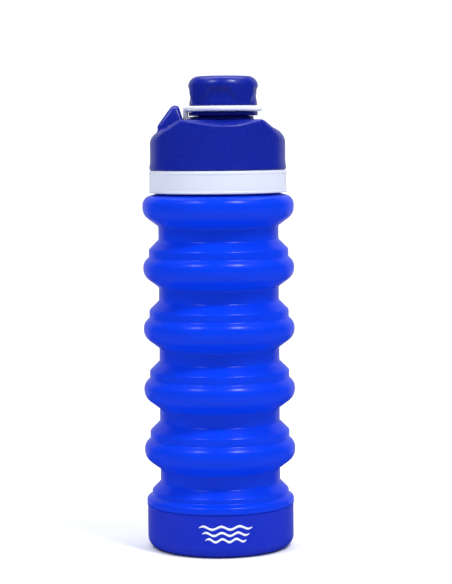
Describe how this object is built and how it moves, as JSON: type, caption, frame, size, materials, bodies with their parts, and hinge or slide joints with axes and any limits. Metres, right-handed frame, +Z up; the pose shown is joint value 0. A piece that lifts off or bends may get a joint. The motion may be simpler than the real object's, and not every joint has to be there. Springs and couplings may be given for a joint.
{
  "type": "folding water bottle",
  "caption": "Collapsible ribbed silicone drinking bottle with a firm base cup, white clamp collar, screw lid, offset spout, tethered screw cap and a small carry loop.",
  "frame": {"origin": "centre of the base's flat underside", "axes": "+Z up along the bottle's axis; the carry loop stands on the -X side and the spout is set off towards +X; -Y is the front"},
  "size_m": [0.0762, 0.0762, 0.2375],
  "materials": {
    "sleeve_silicone": "satin translucent silicone",
    "base_silicone": "matte silicone",
    "white_plastic": "satin white",
    "neck_plastic": "natural white",
    "lid_plastic": "satin moulded",
    "cap_plastic": "satin moulded",
    "tether_silicone": "soft white",
    "seal_silicone": "clear matte silicone"
  },
  "bodies": {
    "base": {"base_cup": "base_silicone", "sleeve_floor": "sleeve_silicone"},
    "fold_1": {"sleeve_fold_1": "sleeve_silicone"},
    "fold_2": {"sleeve_fold_2": "sleeve_silicone"},
    "fold_3": {"sleeve_fold_3": "sleeve_silicone"},
    "fold_4": {"sleeve_fold_4": "sleeve_silicone"},
    "fold_5": {"sleeve_fold_5": "sleeve_silicone"},
    "fold_6": {"sleeve_fold_6": "sleeve_silicone"},
    "neck": {"neck_insert": "neck_plastic", "clamp_collar": "white_plastic", "sleeve_mouth": "sleeve_silicone"},
    "lid_carrier": {"lid_gasket": "seal_silicone"},
    "lid": {"lid": "lid_plastic"},
    "tether_ring": {"tether": "tether_silicone"},
    "spout_cap": {"spout_cap": "cap_plastic", "cap_liner": "seal_silicone"}
  },
  "joints": [
    {"name": "fold", "type": "slide", "parent": "base", "child": "neck", "axis": [0, 0, -1], "range_m": [0, 0.096]},
    {"name": "fold_1_slide", "type": "slide", "parent": "base", "child": "fold_1", "axis": [0, 0, -1], "range_m": [0, 0.005], "deforming": ["sleeve_fold_1"]},
    {"name": "fold_2_slide", "type": "slide", "parent": "base", "child": "fold_2", "axis": [0, 0, -1], "range_m": [0, 0.0188], "deforming": ["sleeve_fold_2"]},
    {"name": "fold_3_slide", "type": "slide", "parent": "base", "child": "fold_3", "axis": [0, 0, -1], "range_m": [0, 0.0375], "deforming": ["sleeve_fold_3"]},
    {"name": "fold_4_slide", "type": "slide", "parent": "base", "child": "fold_4", "axis": [0, 0, -1], "range_m": [0, 0.0561], "deforming": ["sleeve_fold_4"]},
    {"name": "fold_5_slide", "type": "slide", "parent": "base", "child": "fold_5", "axis": [0, 0, -1], "range_m": [0, 0.0748], "deforming": ["sleeve_fold_5"]},
    {"name": "fold_6_slide", "type": "slide", "parent": "base", "child": "fold_6", "axis": [0, 0, -1], "range_m": [0, 0.0903], "deforming": ["sleeve_fold_6"]},
    {"name": "lid_lift", "type": "slide", "parent": "neck", "child": "lid_carrier", "axis": [0, 0, 1], "range_m": [0, 0.0144]},
    {"name": "lid_turn", "type": "hinge", "parent": "lid_carrier", "child": "lid", "pos_m": [0, 0, 0.198], "axis": [0, 0, 1], "range_deg": [0, 721]},
    {"name": "cap_lift", "type": "slide", "parent": "lid", "child": "tether_ring", "axis": [0, 0, 1], "range_m": [0, 0.016], "deforming": ["tether"]},
    {"name": "cap_turn", "type": "hinge", "parent": "tether_ring", "child": "spout_cap", "pos_m": [0.003, 0, 0.2275], "axis": [0, 0, 1], "range_deg": [0, 721]}
  ],
  "couplings": [
    {"joint": "fold_1_slide", "follows": "fold", "ratio": 0.0466},
    {"joint": "fold_2_slide", "follows": "fold", "ratio": 0.1904},
    {"joint": "fold_3_slide", "follows": "fold", "ratio": 0.3849},
    {"joint": "fold_4_slide", "follows": "fold", "ratio": 0.5795},
    {"joint": "fold_5_slide", "follows": "fold", "ratio": 0.774},
    {"joint": "fold_6_slide", "follows": "fold", "ratio": 0.9356},
    {"joint": "lid_turn", "follows": "lid_lift", "rad_per_m": 872.66},
    {"joint": "cap_turn", "follows": "cap_lift", "rad_per_m": 785.4}
  ]
}
